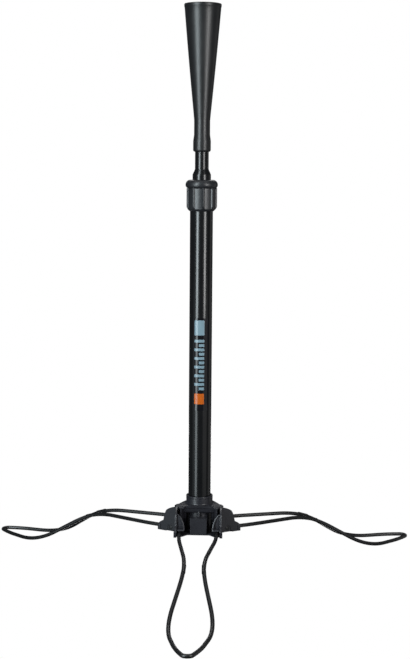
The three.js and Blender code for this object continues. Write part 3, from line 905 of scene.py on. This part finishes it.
def collar():
    """The tube's socket: a core below the roof, a grooved collar above it and a seat for the tube's foot."""
    cap_way = CAP_R + CLEARANCE
    screw_way = SCREW_R + CLEARANCE
    bore = OUTER_TUBE_R + CLEARANCE
    seat = OUTER_TUBE_BOTTOM_Z - CLEARANCE
    flare_r = COLLAR_R + 1.7
    groove_r = COLLAR_R - 0.5
    lip_r = COLLAR_R + 0.1
    cap_top = 4.2
    return turned(rounded([
        (cap_way, 0.1),
        (CORE_R, 0.1),
        (CORE_R, ROOF_Z - 1),
        (flare_r, ROOF_Z - 1),
        (flare_r, ROOF_Z + 0.05),
        (COLLAR_R, ROOF_Z + 0.3, 1.6),
        (COLLAR_R, COLLAR_TOP_Z - 3.3, 0.2),
        (groove_r, COLLAR_TOP_Z - 2.9, 0.15),
        (groove_r, COLLAR_TOP_Z - 2.6, 0.15),
        (lip_r, COLLAR_TOP_Z - 2.2, 0.3),
        (lip_r, COLLAR_TOP_Z, 1),
        (bore, COLLAR_TOP_Z, 0.6),
        (bore, seat),
        (screw_way, seat),
        (screw_way, cap_top),
        (cap_way, cap_top),
    ]))


def hub():
    shape = in_each_port(port())
    shape.join(plate(floor_outline(), 1.95, 0.4, [circle(CAP_R + CLEARANCE, 64)]), raised(0.05))
    shape.join(in_each_port(front_panel()))
    return shape.join(hub_top()).join(collar())


CATCH_BACK_X = 32
CATCH_FRAME = 2.3  # width of the raised frame
CATCH_ROUNDING = 0.3


def catch_front(z):
    """How far out a catch's front stands at a height: it follows the cheek's edge."""
    levels = [(9, 44.6), (13, 41.2), (17.5, 38.6), (29.5, 34.6)]
    if z <= levels[0][0]:
        return levels[0][1]
    for (z0, x0), (z1, x1) in zip(levels, levels[1:]):
        if z <= z1:
            return x0 + (x1 - x0) * (z - z0) / (z1 - z0)
    return levels[-1][1]


def catch_face(in_from_edge, up_from_lip):
    """The front's distance out at a spot: rounded at the edge and the lip, and sunk inside the frame."""
    z = CATCH_LIP_Z + up_from_lip
    x = catch_front(z)
    for distance in (in_from_edge, up_from_lip):
        x -= CATCH_ROUNDING * max(0, 1 - distance / CATCH_ROUNDING) ** 2
    inside = min(in_from_edge, up_from_lip) - CATCH_FRAME + CATCH_ROUNDING
    sunk_x = min(x - 1.6, 37 - 0.12 * up_from_lip)
    return x + (sunk_x - x) * clamped(inside / CATCH_ROUNDING)


def catch(side):
    """A snap catch: a raised frame along its curved edge and its lip, round a sunk face."""
    outer = CHEEK_OUTER_W - CHEEK_THICKNESS - CLEARANCE
    curved_edge = [(outer - 0.7, CATCH_TOP_Z)]
    curve_to(curved_edge, (21.3, 25.7), (CATCH_TIP_W - 0.3, CATCH_LIP_Z + 2.6), 16)
    curve_to(curved_edge, (CATCH_TIP_W - 0.4, CATCH_LIP_Z), (CATCH_TIP_W + 1.4, CATCH_LIP_Z), 6)

    def edge_at(z):
        """Where the curved edge is at a height."""
        for (w0, z0), (w1, z1) in zip(curved_edge, curved_edge[1:]):
            if z >= z1:
                return w0 + (w1 - w0) * (z0 - z) / (z0 - z1)
        return curved_edge[-1][0]

    frame_steps = [0, 0.1, CATCH_ROUNDING, CATCH_FRAME - CATCH_ROUNDING]
    rows = []
    for lift in frame_steps + spaced(CATCH_FRAME, CATCH_TOP_Z - CATCH_LIP_Z, 28):
        z = CATCH_LIP_Z + lift
        start = edge_at(z)
        width = outer - start
        across = [min(step, width) for step in frame_steps]
        across += spaced(min(CATCH_FRAME, width), width, 5)
        rows.append([(catch_face(inward, lift), side * (start + inward), z) for inward in across])
    columns = len(rows[0])
    vertices = [corner for row in rows for corner in row]
    faces = quads(len(rows), columns, edges_meet=False)

    # The rim goes round the front's outer vertices, and each has its match on the flat back.
    last = len(rows) - 1
    rim = list(range(columns))
    rim += [r * columns + columns - 1 for r in range(1, last + 1)]
    rim += [last * columns + c for c in range(columns - 2, -1, -1)]
    rim += [r * columns for r in range(last - 1, 0, -1)]
    flat = len(vertices)
    vertices += [(CATCH_BACK_X, *vertices[i][1:]) for i in rim]
    for k, i in enumerate(rim):
        n = (k + 1) % len(rim)
        faces.append([i, rim[n], flat + n, flat + k])
    faces.append([flat + k for k in range(len(rim))])
    return Shape().add(vertices, faces)


make("hub_moulding", hub(), "base", HUB_PLASTIC, ["hub"], flat_weights=True)
for leg, angle in PORTS.items():
    for hand, side in (("left", -1), ("right", 1)):
        snap = Shape().join(catch(side), facing(angle))
        make(f"{leg}_snap_catch_{hand}", snap, "base", HUB_PLASTIC, [f"{leg}_catch_{hand}"])


# ---- Fastening under the hub -------------------------------------------------------------

def hub_screw():
    """A pan head with a round recess, and a plain shank."""
    bottom, top = span("hub_screw")
    head_r = 6
    recess_r = 1.6
    return turned(rounded([
        (0, bottom + 1),
        (recess_r, bottom + 1),
        (recess_r, bottom, 0.1),
        (4.6, bottom, 0.8),
        (head_r, bottom + 1, 0.4),
        (head_r, bottom + 1.5),
        (SCREW_R, bottom + 1.5),
        (SCREW_R, top, 0.6),
        (0, top),
    ]), sides=72)


def hub_washer():
    return pipe(SCREW_R + CLEARANCE, 8, *span("hub_screw_washer"), (0.15, 0.3, 0.3, 0.15), sides=72)


def hub_cap():
    """A shallow cup, open upwards."""
    inner = CAP_R - 1
    floor_top, wall_top = 1.2, 3
    return turned(rounded([
        (0, 0),
        (CAP_R, 0, 0.5),
        (CAP_R, wall_top, 0.2),
        (inner, wall_top, 0.2),
        (inner, floor_top),
        (0, floor_top),
    ]))


make("hub_screw_zinc", hub_screw(), "base", ZINC, ["hub_screw"])
make("hub_washer_zinc", hub_washer(), "base", ZINC, ["hub_screw_washer"])
make("hub_cap_moulding", hub_cap(), "base", HUB_PLASTIC, ["hub_bottom_cap"])


# ---- Legs --------------------------------------------------------------------------------

def strand_corners():
    """Corners of one strand (out, across, up), each with the tangent length of its bend."""
    floor = GROUND_Z + WIRE_R
    return [
        (Vector((PIVOT_X, CHEEK_OUTER_W - 0.2, PIVOT_Z)), 0),
        (Vector((PIVOT_X, 25, PIVOT_Z)), 6.2),
        (Vector((66, 26.4, PIVOT_Z - 0.5)), 22),
        (Vector((166, 12.5, 1.8)), 25),
        (Vector((195, 13.4, -8.2)), 22),
        (Vector((271.5, 31, floor)), 37),
        (Vector((338, 15.6, floor)), 15),
        (Vector((360.7, 5, floor)), 4.9),
    ]


def leg_path():
    """Straight runs joined by rounded bends, out along one strand and back along its mirror image."""
    out = strand_corners()
    corners = out + [(Vector((place.x, -place.y, place.z)), bend) for place, bend in reversed(out)]
    points = [corners[0][0]]
    for (before, _), (here, bend), (after, _) in zip(corners, corners[1:], corners[2:]):
        start = here + (before - here).normalized() * bend
        end = here + (after - here).normalized() * bend
        points += parabola(start, here, end, 14)
    points.append(corners[-1][0])
    return points


for leg, angle in PORTS.items():
    loop = Shape().join(wire(leg_path(), WIRE_R), facing(angle))
    make(f"{leg}_leg_wire", loop, f"leg_{leg}", WIRE_COATING, [f"{leg}_leg"], sharp=60)


# ---- Camera ------------------------------------------------------------------------------

CAMERA_AZIMUTH = 2.1  # degrees, as are the pitch, pan and roll
CAMERA_PITCH = 7.06  # downwards
CAMERA_PAN = 0.185  # to the right of the tube's axis
CAMERA_ROLL = 0.44
CAMERA_DISTANCE = 1.890  # metres, as is the height
CAMERA_HEIGHT = 0.5206
LENS_MM = 74.3
SENSOR_MM = 36


def camera():
    """Stands the camera at the photo's angle."""
    data = bpy.data.cameras.new("camera")
    data.lens = LENS_MM
    data.sensor_width = SENSOR_MM
    eye = bpy.data.objects.new("camera", data)
    bpy.context.scene.collection.objects.link(eye)
    stand = math.radians(CAMERA_AZIMUTH)
    eye.location = (CAMERA_DISTANCE * math.sin(stand), -CAMERA_DISTANCE * math.cos(stand), CAMERA_HEIGHT)
    heading = Matrix.Rotation(math.radians(CAMERA_AZIMUTH - CAMERA_PAN), 3, "Z")
    tilt = Matrix.Rotation(math.radians(90 - CAMERA_PITCH), 3, "X")
    roll = Matrix.Rotation(math.radians(CAMERA_ROLL), 3, "Z")
    eye.rotation_euler = (heading @ tilt @ roll).to_euler()
    bpy.context.scene.camera = eye


camera()


# ---- Studio ------------------------------------------------------------------------------

FLOOR_R = 6  # metres, as is every length in this section
FLOOR_GAP = 0.0003  # between the feet and the floor
LIGHT_DISTANCE = 1.5
LIGHTS_BOTTOM = -0.6
LIGHTS_FAR_BOTTOM = -0.8
KEY_LEFT = -39  # degrees round from the camera
KEY_LEFT_WIDTH = 0.5
KEY_RIGHT = 38
KEY_RIGHT_WIDTH = 0.42
FILL_WIDTH = 0.7
BACK_WIDTH = 0.8
COOL = (0.85, 0.96, 1)
NEUTRAL = (1, 1, 1)


def seen_or_cast(tree, seen, cast, output):
    """Gives one shader to the camera's own rays and another to every other ray."""
    path = tree.nodes.new("ShaderNodeLightPath")
    mix = tree.nodes.new("ShaderNodeMixShader")
    tree.links.new(path.outputs["Is Camera Ray"], mix.inputs["Fac"])
    tree.links.new(cast, mix.inputs[1])
    tree.links.new(seen, mix.inputs[2])
    tree.links.new(mix.outputs["Shader"], output.inputs["Surface"])


def studio_world():
    """A white studio to the camera, and a dim one in reflections, as black flags give round a product."""
    world = bpy.data.worlds.new("studio")
    bpy.context.scene.world = world
    world.use_nodes = True
    nodes = world.node_tree.nodes
    nodes.clear()
    seen = nodes.new("ShaderNodeBackground")
    seen.inputs["Color"].default_value = (1, 1, 1, 1)
    seen.inputs["Strength"].default_value = 1
    cast = nodes.new("ShaderNodeBackground")
    cast.inputs["Color"].default_value = (0.9, 0.95, 1, 1)
    cast.inputs["Strength"].default_value = 0.06
    output = nodes.new("ShaderNodeOutputWorld")
    seen_or_cast(world.node_tree, seen.outputs["Background"], cast.outputs["Background"], output)


def studio_floor():
    """A pale floor disc under the feet. Only the camera sees it, so the low lights still reach the object."""
    mesh = bpy.data.meshes.new("studio_floor")
    work = bmesh.new()
    bmesh.ops.create_circle(work, cap_ends=True, segments=96, radius=FLOOR_R)
    work.to_mesh(mesh)
    work.free()
    floor = bpy.data.objects.new("studio_floor", mesh)
    floor.location = (0, 0, GROUND_Z * MM - FLOOR_GAP)
    bpy.context.scene.collection.objects.link(floor)
    material = bpy.data.materials.new("pale_floor")
    material.use_nodes = True
    nodes = material.node_tree.nodes
    nodes.clear()
    glow = nodes.new("ShaderNodeEmission")
    glow.inputs["Strength"].default_value = 1
    clear = nodes.new("ShaderNodeBsdfTransparent")
    output = nodes.new("ShaderNodeOutputMaterial")
    seen_or_cast(material.node_tree, glow.outputs["Emission"], clear.outputs["BSDF"], output)
    mesh.materials.append(material)


def softbox(name, azimuth, bottom, top, width, radiance, colour=NEUTRAL):
    """An upright soft light at an azimuth from the camera, facing the tube, from one height to another."""
    data = bpy.data.lights.new(name, "AREA")
    data.shape = "RECTANGLE"
    data.size = width
    data.size_y = top - bottom
    data.energy = radiance * math.pi * width * (top - bottom)
    data.color = colour
    lamp = bpy.data.objects.new(name, data)
    bpy.context.scene.collection.objects.link(lamp)
    around = math.radians(CAMERA_AZIMUTH + azimuth)
    middle = (top + bottom) / 2
    lamp.location = (LIGHT_DISTANCE * math.sin(around), -LIGHT_DISTANCE * math.cos(around), middle)
    lamp.rotation_euler = (math.pi / 2, 0, around)
    lamp.visible_camera = False


def overhead():
    """A weak broad light from above."""
    data = bpy.data.lights.new("overhead", "AREA")
    data.size = 2
    data.energy = 8
    lamp = bpy.data.objects.new("overhead", data)
    lamp.location = (0, 0, 2.4)
    bpy.context.scene.collection.objects.link(lamp)
    lamp.visible_camera = False


studio_world()
studio_floor()
# Each softbox has a name, an azimuth, a bottom, a top, a width, a radiance and a colour.
softbox("left", KEY_LEFT, 0.15, 2.3, KEY_LEFT_WIDTH, 12, COOL)
softbox("left_low", KEY_LEFT, LIGHTS_BOTTOM, 0.15, KEY_LEFT_WIDTH, 4.8, COOL)
softbox("right", KEY_RIGHT, 0.18, 0.75, KEY_RIGHT_WIDTH, 10)
softbox("right_high", KEY_RIGHT, 0.75, 1.6, KEY_RIGHT_WIDTH, 7.5)
softbox("right_low", KEY_RIGHT, LIGHTS_BOTTOM, 0.18, KEY_RIGHT_WIDTH, 0.35)
softbox("left_fill", -66, LIGHTS_FAR_BOTTOM, 0.3, FILL_WIDTH, 0.28, COOL)
softbox("right_fill", 60, LIGHTS_FAR_BOTTOM, 0.3, FILL_WIDTH, 0.35)
softbox("right_rim", 112, LIGHTS_FAR_BOTTOM, 0.9, BACK_WIDTH, 0.3)
softbox("back_low", 180, -1.2, -0.15, BACK_WIDTH, 3)
softbox("back_high", 180, 1.1, 2.2, BACK_WIDTH, 3)
overhead()

bpy.context.scene.view_settings.view_transform = "Standard"
